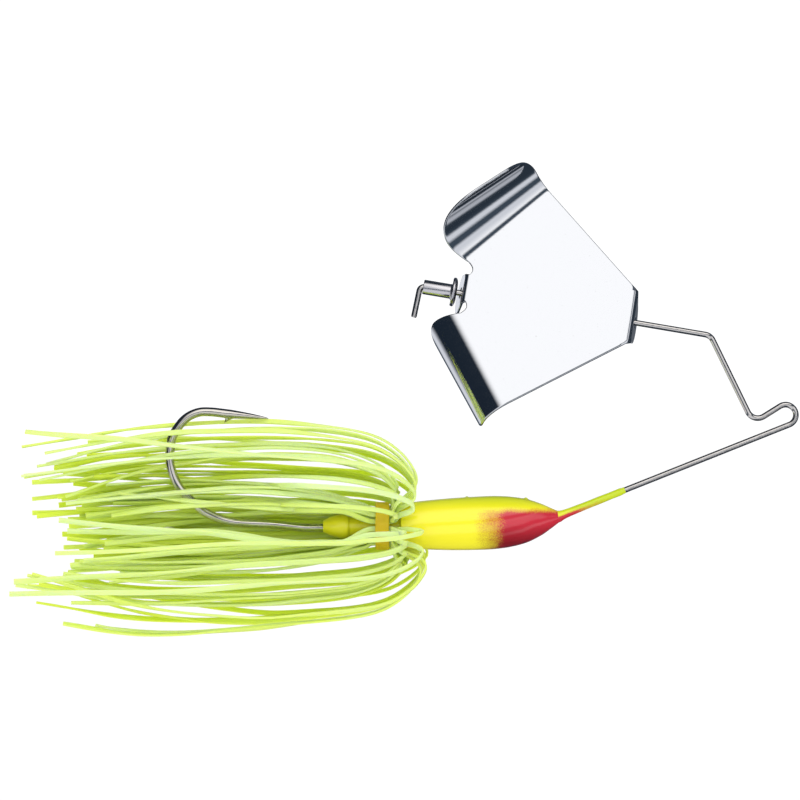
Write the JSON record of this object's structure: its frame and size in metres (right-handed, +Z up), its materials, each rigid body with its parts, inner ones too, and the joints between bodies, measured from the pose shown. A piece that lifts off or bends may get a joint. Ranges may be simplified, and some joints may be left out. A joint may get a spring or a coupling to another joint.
{
  "type": "buzzbait fishing lure",
  "caption": "Surface fishing lure: bent wire arm, free-spinning winged blade with a sliding rivet bushing, painted bullet head cast on a hook, rubber filament skirt.",
  "frame": {"origin": "centre of the line-tie bend at the front of the wire arm", "axes": "+X forward from the hook to the line tie, +Z up with the blade shaft above the head, and the bent wire lies in the plane Y = 0"},
  "size_m": [0.1259, 0.0199, 0.0753],
  "materials": {
    "spring_wire": "bare drawn stainless spring wire, with the head's paint on its last centimetre",
    "head_paint": "glossy chartreuse yellow fading to red on the nose, over lead",
    "hook_nickel": "polished black-nickel steel",
    "band_rubber": "amber rubber collar, satin",
    "skirt_silicone": "slightly translucent chartreuse silicone, satin",
    "blade_nickel": "bright nickel-plated sheet",
    "rivet_metal": "satin"
  },
  "bodies": {
    "lure_body": {"wire_frame": "spring_wire", "head": "head_paint", "hook": "hook_nickel", "skirt_band": "band_rubber", "skirt_filament_01": "skirt_silicone", "skirt_filament_02": "skirt_silicone", "skirt_filament_03": "skirt_silicone", "skirt_filament_04": "skirt_silicone", "skirt_filament_05": "skirt_silicone", "skirt_filament_06": "skirt_silicone", "skirt_filament_07": "skirt_silicone", "skirt_filament_08": "skirt_silicone", "skirt_filament_09": "skirt_silicone", "skirt_filament_10": "skirt_silicone", "skirt_filament_11": "skirt_silicone", "skirt_filament_12": "skirt_silicone", "skirt_filament_13": "skirt_silicone", "skirt_filament_14": "skirt_silicone", "skirt_filament_15": "skirt_silicone", "skirt_filament_16": "skirt_silicone", "skirt_filament_17": "skirt_silicone", "skirt_filament_18": "skirt_silicone", "skirt_filament_19": "skirt_silicone", "skirt_filament_20": "skirt_silicone", "skirt_filament_21": "skirt_silicone", "skirt_filament_22": "skirt_silicone", "skirt_filament_23": "skirt_silicone", "skirt_filament_24": "skirt_silicone", "skirt_filament_25": "skirt_silicone", "skirt_filament_26": "skirt_silicone", "skirt_filament_27": "skirt_silicone", "skirt_filament_28": "skirt_silicone", "skirt_filament_29": "skirt_silicone", "skirt_filament_30": "skirt_silicone"},
    "bushing": {"rivet_bushing": "rivet_metal"},
    "propeller": {"blade": "blade_nickel"}
  },
  "joints": [
    {"name": "bushing_slide", "type": "slide", "parent": "lure_body", "child": "bushing", "axis": [0.986, 0, -0.1668], "range_m": [0, 0.0105]},
    {"name": "blade_spin", "type": "hinge", "parent": "bushing", "child": "propeller", "pos_m": [-0.02464, 0, 0.01487], "axis": [0.986, 0, -0.1668], "continuous": true}
  ]
}
